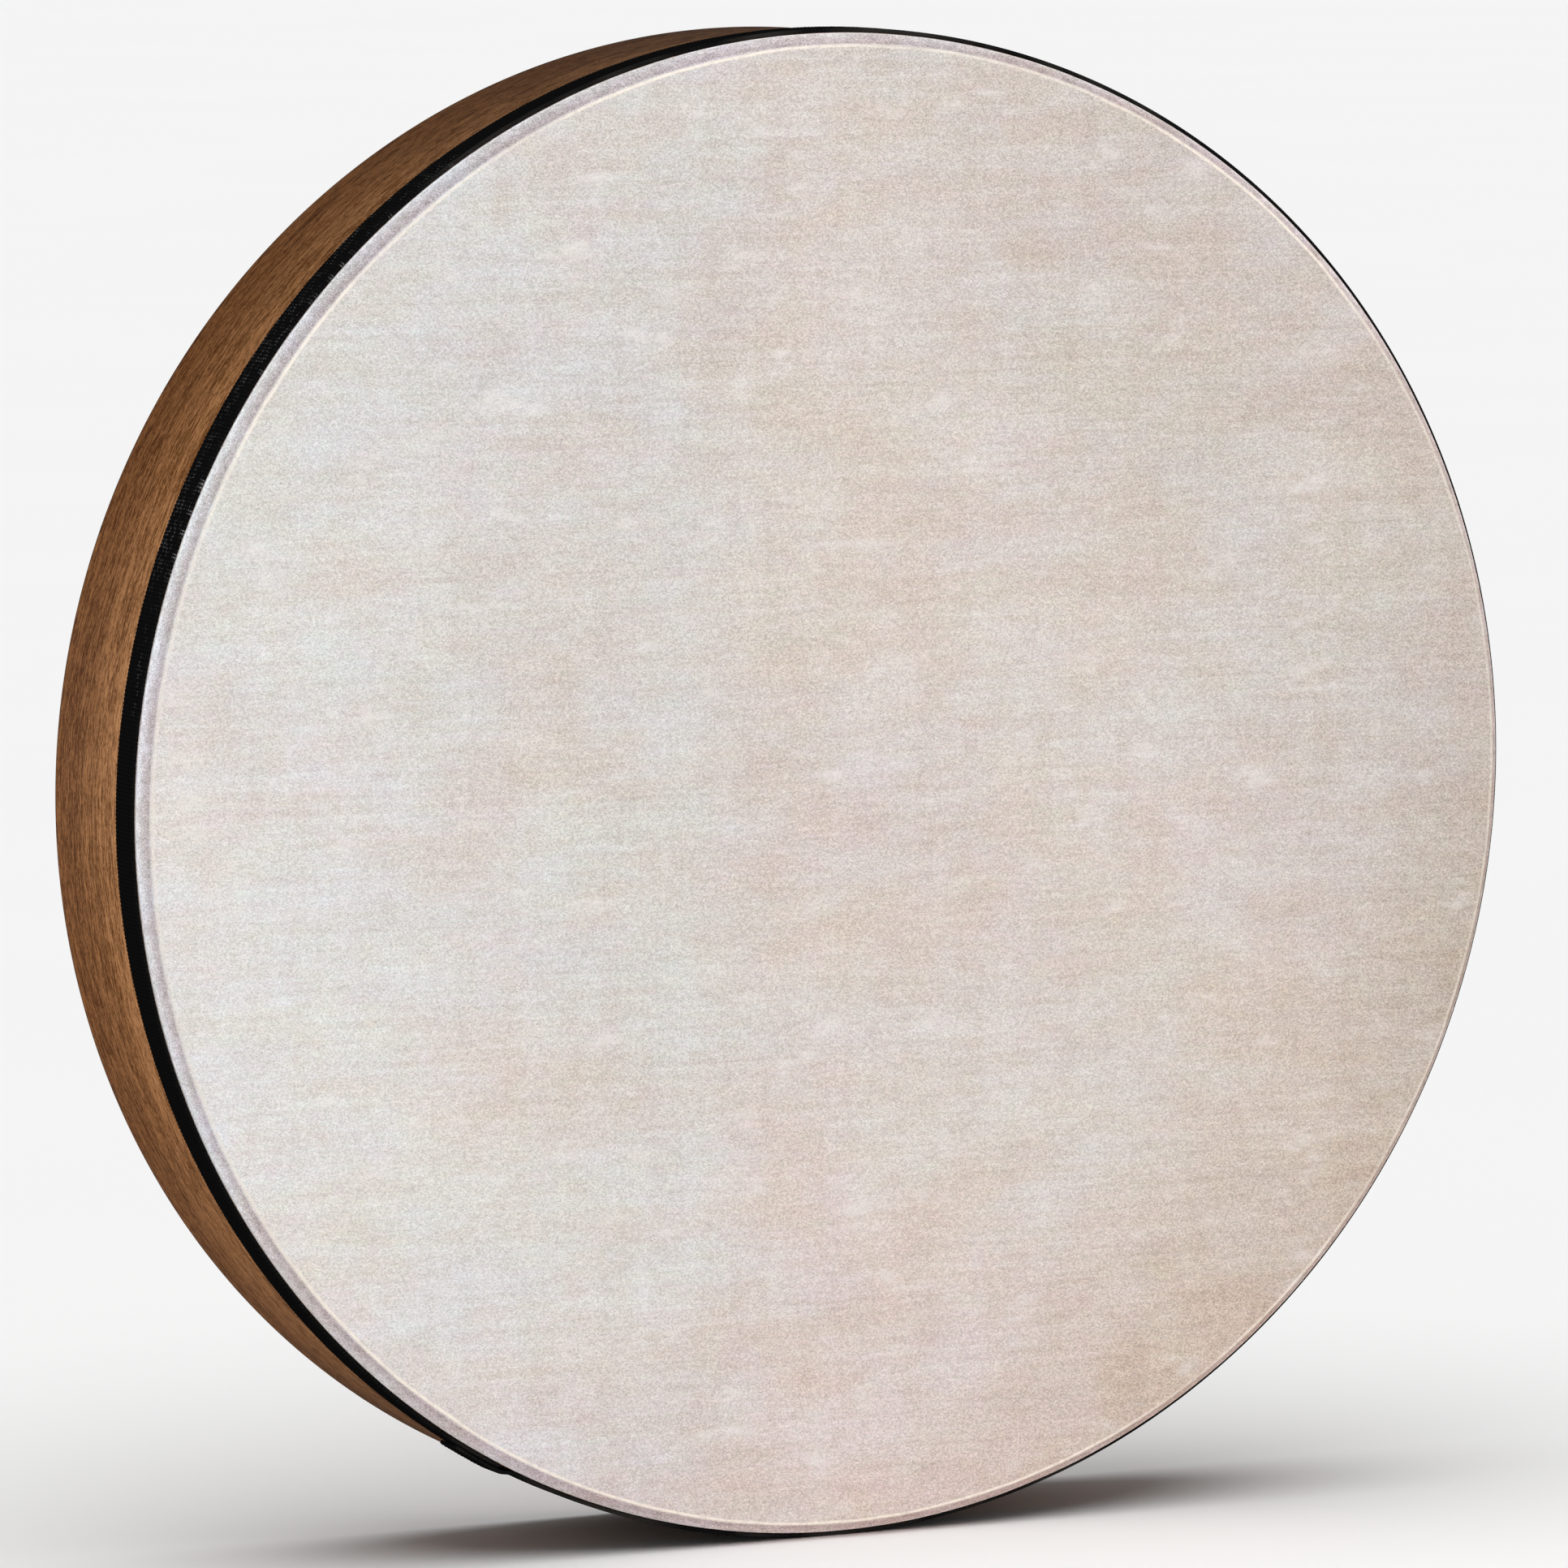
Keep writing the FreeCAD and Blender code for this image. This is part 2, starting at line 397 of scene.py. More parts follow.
class Tree:
    """A material's node tree, with short ways to add nodes. An input is a number or a socket."""

    def __init__(self, name):
        self.material = bpy.data.materials.new(name)
        self.material.use_nodes = True
        self.nodes = self.material.node_tree.nodes
        self.links = self.material.node_tree.links
        self.nodes.clear()

    def plug(self, socket, value):
        """Links a socket to this input, or sets the input to this value. None leaves it alone."""
        if isinstance(value, bpy.types.NodeSocket):
            self.links.new(value, socket)
        elif value is not None:
            socket.default_value = value

    def node(self, kind, *values, **settings):
        """A new node with these settings, and these values in its first inputs."""
        node = self.nodes.new(kind)
        for name, value in settings.items():
            setattr(node, name, value)
        for socket, value in zip(node.inputs, values):
            self.plug(socket, value)
        return node

    def math(self, operation, *values):
        return self.node("ShaderNodeMath", *values, operation=operation).outputs[0]

    def add(self, *terms):
        total = terms[0]
        for term in terms[1:]:
            total = self.math("ADD", total, term)
        return total

    def times(self, *factors):
        total = factors[0]
        for factor in factors[1:]:
            total = self.math("MULTIPLY", total, factor)
        return total

    def ramp(self, value, low, high, to_low=0.0, to_high=1.0):
        """value carried smoothly from low..high to to_low..to_high, and held beyond them."""
        node = self.node("ShaderNodeMapRange", value, low, high, to_low, to_high)
        node.interpolation_type = "SMOOTHSTEP"
        return node.outputs[0]

    def vector(self, x, y, z):
        return self.node("ShaderNodeCombineXYZ", x, y, z).outputs[0]

    def parts(self, vector):
        return self.node("ShaderNodeSeparateXYZ", vector).outputs

    def noise_node(self, place, detail, roughness):
        node = self.node("ShaderNodeTexNoise", noise_dimensions="3D")
        self.plug(node.inputs["Vector"], place)
        node.inputs["Scale"].default_value = 1.0
        node.inputs["Detail"].default_value = detail
        node.inputs["Roughness"].default_value = roughness
        return node

    def noise(self, place, detail=1.0, roughness=0.5):
        """Noise about zero, with cells one unit of place wide. It seldom leaves -0.4 to 0.4."""
        return self.math("SUBTRACT", self.noise_node(place, detail, roughness).outputs["Fac"], 0.5)

    def three_noises(self, place, detail=1.0):
        """Three separate noises about zero."""
        colour = self.noise_node(place, detail, 0.5).outputs["Color"]
        centred = self.node("ShaderNodeVectorMath", colour, (0.5, 0.5, 0.5), operation="SUBTRACT")
        return self.parts(centred.outputs[0])

    def mix(self, factor, a, b):
        node = self.node("ShaderNodeMix", data_type="RGBA")
        self.plug(node.inputs[0], factor)
        for socket, colour in ((node.inputs[6], a), (node.inputs[7], b)):
            self.plug(socket, (*colour, 1.0) if isinstance(colour, tuple) else colour)
        return node.outputs[2]

    def scaled(self, colour, factor):
        node = self.node("ShaderNodeVectorMath", colour, operation="SCALE")
        self.plug(node.inputs["Scale"], factor)
        return node.outputs[0]

    def tinted(self, colour, tint):
        return self.node("ShaderNodeVectorMath", colour, tint, operation="MULTIPLY").outputs[0]

    def bump(self, height, distance_mm):
        node = self.node("ShaderNodeBump")
        self.plug(node.inputs["Height"], height)
        node.inputs["Distance"].default_value = distance_mm * MM
        return node.outputs["Normal"]

    def place_mm(self):
        """The surface point in the row frame, in millimetres, as x, y and z."""
        place = self.node("ShaderNodeTexCoord").outputs["Object"]
        return self.parts(self.scaled(place, 1 / MM))

    def round_the_rim(self, break_angle=0.0):
        """(distance round the rim, depth behind the playing face, radius), in millimetres. The
        distance jumps at break_angle, where a real seam can hide the jump."""
        x, y, z = self.place_mm()
        turn = math.radians(break_angle + 180)
        turned_x = self.add(self.times(x, math.cos(turn)), self.times(z, math.sin(turn)))
        turned_z = self.add(self.times(z, math.cos(turn)), self.times(x, -math.sin(turn)))
        angle = self.math("ARCTAN2", turned_z, turned_x)
        radius = self.math("SQRT", self.add(self.times(x, x), self.times(z, z)))
        return self.times(angle, SHELL_RADIUS), self.add(y, -PLAYING_FACE_Y / MM), radius

    def surface(self, colour, roughness, normal=None, specular=0.5):
        node = self.node("ShaderNodeBsdfPrincipled")
        self.plug(node.inputs["Base Color"], colour)
        self.plug(node.inputs["Roughness"], roughness)
        self.plug(node.inputs["Normal"], normal)
        self.plug(node.inputs["Specular IOR Level"], specular)
        return node.outputs[0]

    def finish(self, shader):
        self.node("ShaderNodeOutputMaterial", shader)
        return self.material


# ---------------------------------------------------------------- wood

VENEER_DARK = (0.150, 0.050, 0.007)
VENEER_LIGHT = (0.560, 0.268, 0.110)
CORE_DARK = (0.085, 0.040, 0.018)
CORE_LIGHT = (0.230, 0.125, 0.062)
PORE = (0.030, 0.010, 0.002)
TINT_AT_BACK = (0.52, 0.44, 0.35)      # darker and browner at the back rim, as a share of the colour near the ribbon
EDGE_STAIN = 0.3            # what the stain leaves of the colour on the eased back edge
CORE_EDGE_STAIN = 0.8
END_GRAIN_EDGE_STAIN = 0.45
STAIN_STRENGTH = 0.82
PAINTED_SHADE_SWING = 0.03          # painted shade: the wood is a little darker round the shell towards DARKEST_ANGLE
DARKEST_ANGLE = 115.0
GRAIN = (                   # length and width of the streaks in mm, and their strength
    (110.0, 11.0, 0.8),
    (40.0, 3.0, 0.7),
    (14.0, 1.2, 0.9),
    (5.0, 0.60, 1.5),
    (3.2, 0.34, 2.2),
    (0.9, 0.40, 1.8),
)
GRAIN_SWAY = 7.0            # how far the grain wanders across the shell
END_GRAIN_SHORTENING = 6.0  # how much shorter the streaks look where the fibres end


def stain_and_painted_shade(tree, arc, depth, seam_angle, edge_stain):
    """How much of the wood's colour the stain leaves: least at the back rim's eased edge. Painted shade
    darkens it a little towards the upper left.
    """
    turn = tree.add(tree.times(arc, 1 / SHELL_RADIUS), math.radians(seam_angle + 180 - DARKEST_ANGLE))
    stain_and_shade = tree.add(STAIN_STRENGTH, tree.times(tree.math("COSINE", turn), -PAINTED_SHADE_SWING))
    return tree.times(stain_and_shade, tree.ramp(depth, DRUM_DEPTH - 1.8, DRUM_DEPTH - 0.4, 1.0, edge_stain))


def stained_wood(name, dark, light, edge_stain, seam_angle, layer, end_grain=False):
    """Stained wood with its grain round the rim. Each layer takes its own stretch of the noise. On
    an end-grain layer the fibres point at the back rim, so they show there as dots."""
    tree = Tree(name)
    arc, depth, radius = tree.round_the_rim(seam_angle)
    sway = tree.noise(tree.vector(tree.times(arc, 1 / 60), tree.times(depth, 1 / 45), layer + 0.5))
    across = tree.add(depth, tree.times(sway, GRAIN_SWAY), radius)
    shorter = END_GRAIN_SHORTENING if end_grain else 1.0

    def streaks(length, width, shift, detail=1.0):
        own_layer = 37.0 * layer + shift + 0.5
        place = tree.vector(tree.times(arc, shorter / length), tree.times(across, 1 / width), own_layer)
        return tree.noise(place, detail)

    tone = 0.5
    for shift, (length, width, strength) in enumerate(GRAIN):
        tone = tree.add(tone, tree.times(streaks(length, width, shift), strength))
    curl = tree.times(
        streaks(1.2, 3.0, 8, detail=2),
        tree.ramp(streaks(40, 14, 7), 0.04, 0.18, 0.1, 0.5),
    )
    pores = tree.ramp(streaks(4.5, 0.34, 9), 0.14, 0.24)
    pore_fields = tree.ramp(streaks(30, 7, 10), -0.1, 0.12, 0.3, 0.9)
    fibres = streaks(5.5, 0.55, 3)

    colour = tree.mix(tree.ramp(tree.add(tone, curl), -0.2, 1.2), dark, light)
    colour = tree.mix(tree.times(pores, pore_fields), colour, PORE)
    towards_back = tree.ramp(depth, RIBBON_END - 4, DRUM_DEPTH)
    colour = tree.tinted(colour, tree.mix(towards_back, (1, 1, 1), TINT_AT_BACK))
    # The stain, darkest at the back rim's eased edge, and painted shade towards the upper left.
    colour = tree.scaled(colour, stain_and_painted_shade(tree, arc, depth, seam_angle, edge_stain))
    roughness = tree.add(0.5, tree.times(fibres, 0.3), tree.times(pores, 0.15))
    height = tree.add(fibres, tree.times(pores, -0.5), curl)
    return tree.finish(tree.surface(colour, roughness, tree.bump(height, 0.1), specular=0.03))


def ply_material(number):
    """The veneers are the finished wood; the core plies show only at the bearing and back edges."""
    seam_angle = FIRST_SEAM_ANGLE + number * SEAM_STEP
    name = PLY_NODES[number] + "_grain"
    if number in (0, len(PLY_NODES) - 1):
        return stained_wood(name, VENEER_DARK, VENEER_LIGHT, EDGE_STAIN, seam_angle, number)
    end_grain = number % 2 == 1
    edge_stain = END_GRAIN_EDGE_STAIN if end_grain else CORE_EDGE_STAIN
    return stained_wood(name, CORE_DARK, CORE_LIGHT, edge_stain, seam_angle, number, end_grain)


# ---------------------------------------------------------------- film

FILM_COLOUR = (0.615, 0.568, 0.545)
FILM_MOTTLE = (             # width and height of a layer's blotches in mm, and then how far they
    (0.50, 0.34, 1.05, 0.02, 0.02),     # go from dark to light, from cool to warm and from pink
    (1.2, 0.5, 0.10, 0.02, 0.045),      # to green
    (26.0, 0.8, 0.17, 0.04, 0.03),
    (60.0, 2.0, 0.12, 0.04, 0.03),
    (5.0, 60.0, 0.09, 0.03, 0.03),
    (3.2, 1.5, 0.11, 0.035, 0.07),
    (8.0, 3.5, 0.14, 0.06, 0.065),
    (17.0, 9.0, 0.13, 0.08, 0.045),
    (34.0, 15.0, 0.14, 0.10, 0.035),
    (70.0, 40.0, 0.12, 0.11, 0.06),
)
WARM_WHERE_DARK = 0.8       # how closely the film's warm places are also its dark ones
# Painted light and shade on the face: lighter and cooler towards the left and lower left, darker towards
# the top, the bottom and the right, and darker and warmer most of all towards the lower right.
FILM_PAINTED_LIGHT = (              # a direction (x, z), where along it a change starts and ends in mm, and
    (-1.0, 0.0, 40, 200, 0.09, -0.025, 0.002),      # the change in lightness, warmth and green
    (-1.0, 0.0, -10, 60, 0.0, -0.03, 0.01),
    (-0.5, -0.8, 0, 150, 0.06, 0.0, 0.0),
    (0.0, -1.0, 100, 195, -0.055, 0.02, -0.035),
    (0.0, 1.0, 60, 120, -0.02, 0.0, 0.0),
    (0.85, 0.5, 70, 130, -0.06, 0.0, 0.0),
    (1.0, 0.0, 140, 205, -0.07, 0.01, 0.0),
    (0.75, -0.65, 110, 205, -0.15, 0.075, 0.015),
)
HAZE_COLOUR = (0.765, 0.742, 0.742)
# The crest line: the film's pale stretch line, with a painted highlight on it.
CREST_LINE_AND_HIGHLIGHT_COLOUR = (0.88, 0.81, 0.735)
FIBRE_GREY = (0.36, 0.345, 0.34)
FLECK_COLOUR = (0.40, 0.32, 0.28)
# The shoulder's light and shade is painted into its colour, as shares of the face's colour: darkest beside
# the crest, lightest at its foot by the ribbon, where it also takes out the ribbon's shade, and paler at
# the drum's top, bottom and right.
SHOULDER_AT_CREST = (0.615, 0.56, 0.595)    # of the face's colour
SHOULDER_AT_RIBBON = (1.12, 1.15, 1.19)
SHOULDER_IN_MIDDLE = 1.3    # how much brighter it is at the drum's top and bottom than at its left
SHOULDER_AT_RIGHT = 1.25    # and at its right than in the middle
SHOULDER_FOOT_LOW = 1.2     # how much brighter the shoulder is where it meets the ribbon, on the
SHOULDER_FOOT_HIGH = 1.5    # drum's lower half and on its upper half
CREST_LINE_RADIUS = CREST_RADIUS + 0.1
CREST_LINE_DRIFT = 0.5      # how much further out the line lies on the left
CREST_LINE_HALF_WIDTH = 0.6
LUMP_SIZE = 2.0             # of the shoulder's unevenness, painted as lumpy shade
FILM_TRANSLUCENCY = 0.12


def film_shades(tree, x, y, z):
    """The film's lightness, warmth and green at a place: cloudy, in streaks that run level, with painted
    light and shade across the face.
    """
    light, warm, green = 1.0, 0.0, 0.0
    for width, height, light_share, warm_share, green_share in FILM_MOTTLE:
        place = tree.vector(tree.times(x, 1 / width), tree.times(y, 1 / height), tree.times(z, 1 / height))
        a, b, c = tree.three_noises(place)
        light = tree.add(light, tree.times(a, light_share))
        tied = tree.add(tree.times(a, -WARM_WHERE_DARK), tree.times(b, 1 - WARM_WHERE_DARK ** 2))
        warm = tree.add(warm, tree.times(tied, warm_share))
        green = tree.add(green, tree.times(c, green_share))
    # Painted light and shade across the face.
    for x_share, z_share, start, end, light_change, warm_change, green_change in FILM_PAINTED_LIGHT:
        along = tree.add(tree.times(x, x_share), tree.times(z, z_share))
        reached = tree.ramp(along, start, end)
        light = tree.add(light, tree.times(reached, light_change))
        warm = tree.add(warm, tree.times(reached, warm_change))
        green = tree.add(green, tree.times(reached, green_change))
    return light, warm, green


def face_colour(tree, x, z, light, warm, green, clumps):
    """The flat face's colour: the film's own shades with painted light and shade, pale haze, brown flecks
    and grey fibres.
    """
    shades = (tree.add(1.0, warm), tree.add(1.0, green), tree.math("SUBTRACT", 1.0, warm))
    colour = tree.vector(*(
        tree.times(channel, light, shade) for channel, shade in zip(FILM_COLOUR, shades)
    ))
    colour = tree.mix(tree.ramp(clumps, 0.05, 0.22, 0.0, 0.55), colour, HAZE_COLOUR)
    flecks = tree.noise(tree.vector(tree.times(x, 1 / 1.1), 9.0, tree.times(z, 1 / 0.6)), detail=0)
    colour = tree.mix(tree.ramp(flecks, 0.27, 0.36, 0.0, 0.4), colour, FLECK_COLOUR)
    fibres = tree.noise(tree.vector(tree.times(x, 1 / 0.9), 14.0, tree.times(z, 1 / 0.7)), detail=1)
    return tree.mix(tree.ramp(fibres, 0.12, 0.3, 0.0, 0.4), colour, FIBRE_GREY)


def shoulder_painted_light(tree, x, z, depth, light, lumps):
    """The shoulder's painted light and shade on the face's colour: darkest beside the crest, lightest at
    its foot by the ribbon, darker on the drum's left than all round the rest, and in lumps where the film
    puckers."""
    down_shoulder = tree.ramp(depth, 0.2, RIBBON_START)
    tint = tree.mix(down_shoulder, SHOULDER_AT_CREST, SHOULDER_AT_RIBBON)
    foot_gain = tree.ramp(z, -90, 10, SHOULDER_FOOT_LOW, SHOULDER_FOOT_HIGH)
    foot = tree.ramp(depth, RIBBON_START - 1.6, RIBBON_START - 0.2, 1.0, foot_gain)
    low_or_high = tree.add(tree.ramp(z, -130, -190, 1.0, 1.15), tree.ramp(z, 100, 190, 0.0, -0.04))
    lumpy = tree.add(0.3, tree.times(light, 0.7), tree.times(lumps, 0.75))
    middle = tree.ramp(x, -140, 60, 1.0, SHOULDER_IN_MIDDLE)
    right = tree.ramp(x, 40, 180, 1.0, SHOULDER_AT_RIGHT)
    return tree.scaled(tint, tree.times(low_or_high, lumpy, foot, middle, right))


def crest_line_and_highlight(tree, x, z, past_line, lumps):
    """How strongly the pale stretch line along the crest and its painted highlight show at a place: most
    at the drum's top and bottom.
    """
    wobble = tree.noise(tree.vector(tree.times(x, 1 / 14), 15.5, tree.times(z, 1 / 14)), detail=2)
    off_line = tree.math("ABSOLUTE", tree.add(past_line, tree.times(wobble, 0.8)))
    stretched = tree.noise(tree.vector(tree.times(x, 1 / 50), 12.5, tree.times(z, 1 / 50)), detail=4)
    return tree.times(
        tree.ramp(off_line, 0.1, CREST_LINE_HALF_WIDTH, 1.0, 0.0),
        tree.ramp(stretched, -0.25, 0.15, 0.3, 1.0),
        tree.ramp(lumps, -0.2, 0.1, 0.5, 1.0),
        tree.ramp(tree.math("ABSOLUTE", z), 40, 150, 0.45, 1.0),
    )


def film():
    """The head's fibre-filled film: a cloudy face, a pale line along the crest with a painted highlight,
    and a shoulder, with light and shade painted on the face and the shoulder.
    """
    tree = Tree("film")
    x, y, z = tree.place_mm()
    _, depth, radius = tree.round_the_rim()
    light, warm, green = film_shades(tree, x, y, z)
    clump_place = tree.vector(tree.times(x, 1 / 22), 5.0, tree.times(z, 1 / 10))
    clumps = tree.noise(clump_place, detail=5, roughness=0.65)
    lump_place = tree.vector(*(tree.times(distance, 1 / LUMP_SIZE) for distance in (x, y, z)))
    lumps = tree.noise(lump_place, detail=3, roughness=0.6)
    drift = tree.ramp(x, -115, -190, 0.0, CREST_LINE_DRIFT)
    past_line = tree.add(radius, -CREST_LINE_RADIUS, tree.times(drift, -1.0))

    colour = face_colour(tree, x, z, light, warm, green, clumps)
    # Painted light and shade on the shoulder.
    shoulder = tree.tinted(colour, shoulder_painted_light(tree, x, z, depth, light, lumps))
    colour = tree.mix(tree.ramp(past_line, 0.3, 1.0), colour, shoulder)
    # The pale stretch line and the painted highlight along the crest.
    colour = tree.mix(crest_line_and_highlight(tree, x, z, past_line, lumps), colour, CREST_LINE_AND_HIGHLIGHT_COLOUR)
    relief = tree.bump(tree.add(light, tree.times(clumps, 0.1)), 0.12)
    front = tree.surface(colour, tree.add(0.55, tree.times(clumps, 0.2)), relief, specular=0.2)
    through = tree.node("ShaderNodeBsdfTranslucent", colour).outputs[0]
    both = tree.node("ShaderNodeMixShader", FILM_TRANSLUCENCY, front, through).outputs[0]
    return tree.finish(both)


# ---------------------------------------------------------------- ribbon and glue

YARN_BLACK = (0.0014, 0.0014, 0.0015)
YARN_GREY = (0.0095, 0.0096, 0.0100)
# Bright fibre flecks, with painted glints where they gather at the upper left.
YARN_FLECK_AND_GLINT = (0.160, 0.160, 0.165)
# Painted highlight along the ribbon's front edge.
CORD_HIGHLIGHT_GREY = (0.018, 0.017, 0.016)
GLUE_DARK = (0.12, 0.065, 0.03)
GLUE_LIGHT = (0.22, 0.13, 0.065)


def woven_ribbon():
    """Black yarn: fine yarns that pass over one rib and under the next, with bright fibre flecks and
    painted glints most of all at the upper left, and a painted highlight along the front edge high and
    low."""
    tree = Tree("woven_ribbon")
    ribs, yarns, _ = tree.parts(tree.node("ShaderNodeUVMap", uv_map="weave").outputs[0])
    rib_wave = tree.math("COSINE", tree.times(ribs, math.pi))
    yarn_wave = tree.math("COSINE", tree.times(yarns, math.pi))
    over = tree.times(rib_wave, yarn_wave)
    cell = tree.vector(tree.math("FLOOR", ribs), tree.math("FLOOR", yarns), 0.0)
    chance = tree.node("ShaderNodeTexWhiteNoise", cell, noise_dimensions="3D").outputs["Value"]
    field = tree.noise(tree.vector(tree.times(ribs, 1 / 30), tree.times(yarns, 1 / 12), 0.0), detail=2)
    x, _, z = tree.place_mm()
    high_or_low = tree.ramp(tree.math("ABSOLUTE", z), 150, 185)
    # Painted glints: the bright flecks show most at the upper left, where the light grazes.
    glinting_side = tree.ramp(tree.add(tree.times(x, -0.82), tree.times(z, 0.57)), 165, 203, -0.3, 0.0)
    lucky = tree.ramp(tree.add(chance, tree.times(field, 0.8), glinting_side), 0.82, 1.1)
    crown = tree.ramp(tree.math("ABSOLUTE", over), 0.35, 0.85)
    fuzz = tree.noise(tree.vector(tree.times(ribs, 4.0), tree.times(yarns, 2.0), 3.0), detail=3)
    shown = tree.add(tree.ramp(fuzz, -0.2, 0.25, 0.0, 0.6), tree.times(crown, 0.3))
    colour = tree.mix(shown, YARN_BLACK, YARN_GREY)
    colour = tree.mix(tree.times(lucky, crown), colour, YARN_FLECK_AND_GLINT)
    # Painted highlight along the front edge's cord, high and low on the drum.
    cord_highlight = tree.times(tree.ramp(yarns, 1.6, 0.8), tree.ramp(field, -0.1, 0.1), high_or_low)
    colour = tree.mix(cord_highlight, colour, CORD_HIGHLIGHT_GREY)
    relief = tree.bump(tree.add(tree.times(over, 0.5), tree.times(fuzz, 0.3)), 0.16)
    return tree.finish(tree.surface(colour, 0.6, relief, specular=0.0))


def dried_glue():
    """Amber glue that dried with soft blobs."""
    tree = Tree("dried_glue")
    arc, depth, _ = tree.round_the_rim()
    blobs = tree.noise(tree.vector(tree.times(arc, 1 / 2.5), tree.times(depth, 1 / 1.5), 0.0), detail=3)
    colour = tree.mix(tree.ramp(blobs, -0.2, 0.2), GLUE_DARK, GLUE_LIGHT)
    rough = tree.ramp(blobs, -0.2, 0.2, 0.2, 0.45)
    return tree.finish(tree.surface(colour, rough, tree.bump(blobs, 0.1)))


# ---------------------------------------------------------------- the drum


def build_drum():
    """Makes every piece, and returns the wooden ones and the others."""
    wood = [build_ply(number, node, ply_material(number)) for number, node in enumerate(PLY_NODES)]
    covering = [build_head(film()), build_ribbon(woven_ribbon())]
    glue = dried_glue()
    for node in ("head_glue", "ribbon_glue"):
        covering.append(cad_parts[node])
        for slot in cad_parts[node].material_slots:
            slot.material = glue
    return wood, covering


# ---------------------------------------------------------------- floor, light and camera

AMBIENT = 0.24
FLOOR_LIGHT = 0.76
FLOOR_SHADE = 0.92
FLOOR_BOUNCE = (0.48, 0.43, 0.38)
DAYLIGHT = (1.0, 0.985, 0.965)
WARM = (1.0, 0.97, 0.94)
CAMERA_AZIMUTH = math.radians(-25.87)
CAMERA_ELEVATION = math.radians(6.33)
CAMERA_DISTANCE = 14.66 * SKIRT_RADIUS * MM
FIELD_WIDTH = 2.078         # width of the picture at the drum, in skirt radii
AIM_ASIDE = -0.0772         # from the playing face's middle to the picture's middle, in skirt radii
AIM_UP = 0.0068
SENSOR_WIDTH = 36.0


def group(name, objects):
    """A collection of these objects, for a lamp's light linking."""
    collection = bpy.data.collections.new(name)
    for piece in objects:
        collection.objects.link(piece)
    return collection


def new_lamp(name, kind, place, aim, power, colour=(1, 1, 1)):
    """A lamp that the camera doesn't see, pointing from place at aim."""
    light = bpy.data.lights.new(name, kind)
    light.energy = power
    light.color = colour
    lamp = bpy.data.objects.new(name, light)
    bpy.context.scene.collection.objects.link(lamp)
    lamp.location = place
    lamp.rotation_euler = (Vector(aim) - Vector(place)).to_track_quat("-Z", "Y").to_euler()
    lamp.visible_camera = False
    return lamp


def softbox(name, lit, place, aim, size, power, colour, shines=True, blockers=None):
    """A soft rectangular lamp on these objects. One that doesn't shine leaves no highlights. If
    blockers are given, nothing else casts a shadow from it."""
    lamp = new_lamp(name, "AREA", place, aim, power, colour)
    lamp.data.shape = "RECTANGLE"
    lamp.data.size, lamp.data.size_y = size
    lamp.visible_glossy = shines
    lamp.light_linking.receiver_collection = group(name + "_lights", lit)
    if blockers:
        lamp.light_linking.blocker_collection = group(name + "_blockers", blockers)


def build_floor():
    """A wide pale floor under the rim. The light that it returns to the drum is weaker and warmer
    than it looks, so that it doesn't wash out the drum's lower half."""
    bpy.ops.mesh.primitive_plane_add(size=60, location=(0, 0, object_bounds()[0].z))
    floor = bpy.context.object
    floor.name = "floor"
    tree = Tree("floor_paper")
    seen = tree.node("ShaderNodeLightPath").outputs["Is Camera Ray"]
    x, y, _ = tree.place_mm()
    mottle = tree.noise(tree.vector(tree.times(x, 1 / 300), tree.times(y, 1 / 300), 0.0), detail=3)
    colour = tree.mix(seen, FLOOR_BOUNCE, (FLOOR_SHADE, FLOOR_SHADE, FLOOR_SHADE))
    colour = tree.scaled(colour, tree.add(1.0, tree.times(mottle, 0.02)))
    floor.data.materials.append(tree.finish(tree.surface(colour, 0.9, specular=0.0)))
    above = new_lamp("floor_light", "SUN", (0, 0, 3), (0.2, 0.5, 0), FLOOR_LIGHT * math.pi)
    above.data.angle = math.radians(70)
    above.light_linking.receiver_collection = group("floor_light_lights", [floor])


def build_world():
    """Even light from all round. To the camera it looks like more of the floor."""
    world = bpy.data.worlds.new("studio")
    bpy.context.scene.world = world
    world.use_nodes = True
    nodes, links = world.node_tree.nodes, world.node_tree.links
    around = nodes["Background"]
    around.inputs["Color"].default_value = (1, 1, 1, 1)
    around.inputs["Strength"].default_value = AMBIENT
    seen = nodes.new("ShaderNodeBackground")
    seen.inputs["Color"].default_value = (1, 1, 1, 1)
    seen.inputs["Strength"].default_value = FLOOR_SHADE * (AMBIENT + FLOOR_LIGHT)
    both = nodes.new("ShaderNodeMixShader")
    links.new(nodes.new("ShaderNodeLightPath").outputs["Is Camera Ray"], both.inputs[0])
    links.new(around.outputs[0], both.inputs[1])
    links.new(seen.outputs[0], both.inputs[2])
    links.new(both.outputs[0], nodes["World Output"].inputs["Surface"])


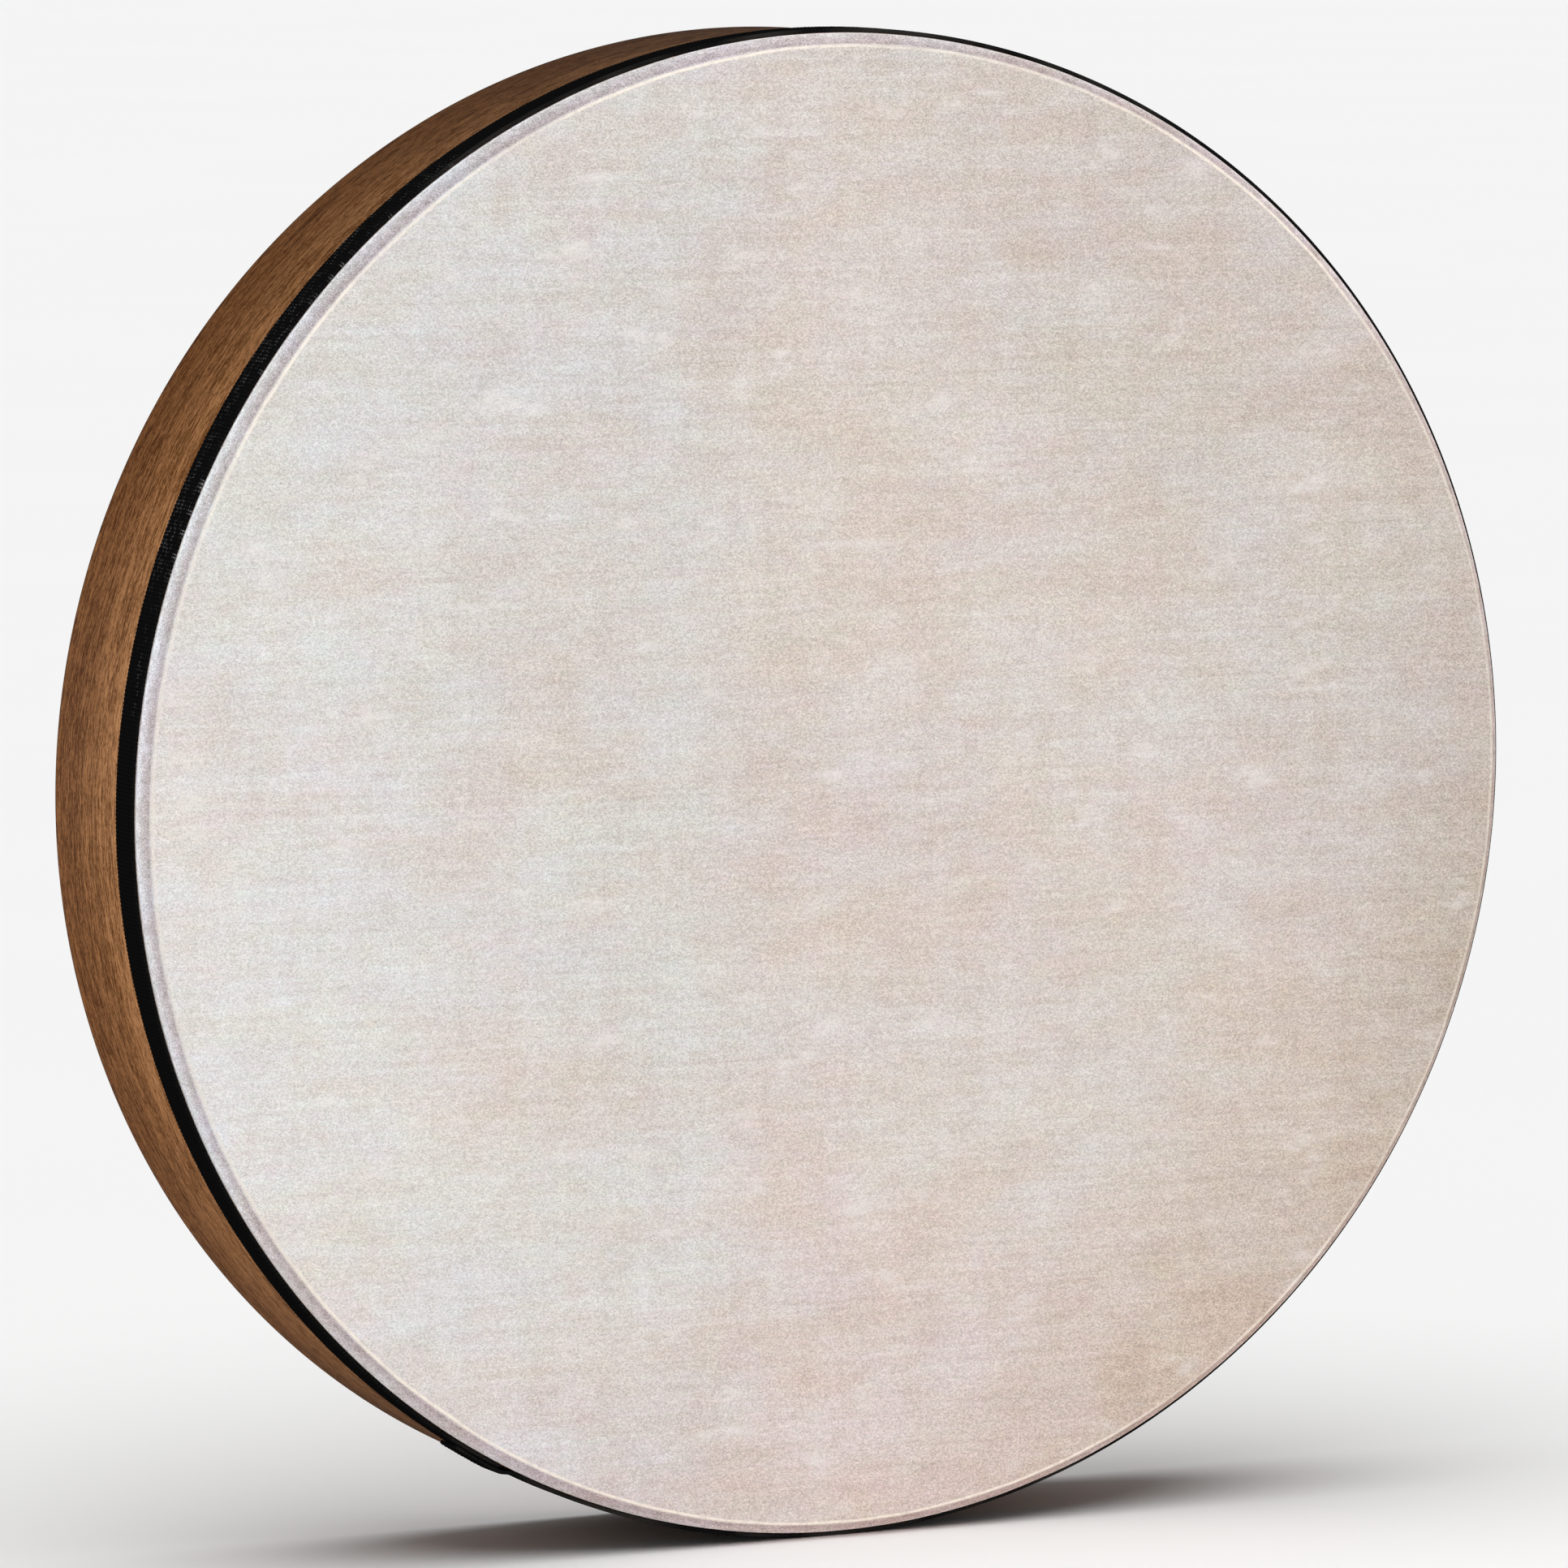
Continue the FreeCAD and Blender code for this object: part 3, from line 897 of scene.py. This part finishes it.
def build_lights(wood, covering):
    """Soft lamps for the head and for the wood in front, a cool strip behind the drum's left edge,
    fills that reach the shoulder's top, bottom and right, and weak fills on the wood and the back."""
    drum = wood + covering
    softbox("head_key", covering, (-0.8, -3.1, 1.2), (0, 0, 0), (1.9, 1.6), 80, DAYLIGHT)
    softbox("shoulder_key", covering, (-2.2, -0.9, 0.6), (-0.1, 0, 0), (0.9, 0.9), 14, (0.97, 0.985, 1.0))
    softbox("high_fill", covering, (0.1, -0.45, 1.4), (0, 0, 0), (0.6, 0.4), 8, DAYLIGHT)
    softbox("low_fill", covering, (0.0, -0.45, -1.4), (0, 0, 0), (0.6, 0.4), 7.5, WARM, blockers=drum)
    softbox("shell_key", wood, (-1.9, -1.3, 0.5), (-0.1, 0, 0), (0.8, 0.8), 23, DAYLIGHT)
    softbox("left_strip", drum, (-0.70, 0.42, 0.04), (-0.2, 0, 0), (0.25, 0.4), 2.2, (0.90, 0.96, 1.03))
    softbox("back_fill", drum, (0.9, 1.9, 0.3), (0, 0, 0), (1.2, 1.2), 22, (1.0, 0.98, 0.95), shines=False)
    softbox("right_fill", wood, (1.9, -0.2, 0.3), (0, 0, 0), (1.0, 1.0), 7, WARM, shines=False)
    softbox("right_edge", covering, (1.9, -0.2, 0.3), (0, 0, 0), (1.0, 1.0), 19, WARM, shines=False)


def build_camera():
    """The camera in front of the head, to its left and a little above."""
    back = Vector((
        math.sin(CAMERA_AZIMUTH) * math.cos(CAMERA_ELEVATION),
        -math.cos(CAMERA_AZIMUTH) * math.cos(CAMERA_ELEVATION),
        math.sin(CAMERA_ELEVATION),
    ))
    right = Vector((math.cos(CAMERA_AZIMUTH), math.sin(CAMERA_AZIMUTH), 0))
    up = back.cross(right)
    radius = SKIRT_RADIUS * MM
    middle = Vector((0, PLAYING_FACE_Y, 0))
    place = middle + back * CAMERA_DISTANCE
    aim = middle + (right * AIM_ASIDE + up * AIM_UP) * radius
    data = bpy.data.cameras.new("camera")
    data.sensor_width = SENSOR_WIDTH
    data.lens = SENSOR_WIDTH * CAMERA_DISTANCE / (FIELD_WIDTH * radius)
    camera = bpy.data.objects.new("camera", data)
    camera.location = place
    camera.rotation_euler = (aim - place).to_track_quat("-Z", "Y").to_euler()
    bpy.context.scene.collection.objects.link(camera)
    bpy.context.scene.camera = camera
    bpy.context.scene.view_settings.view_transform = "Standard"


wood, covering = build_drum()
build_floor()
build_world()
build_lights(wood, covering)
build_camera()
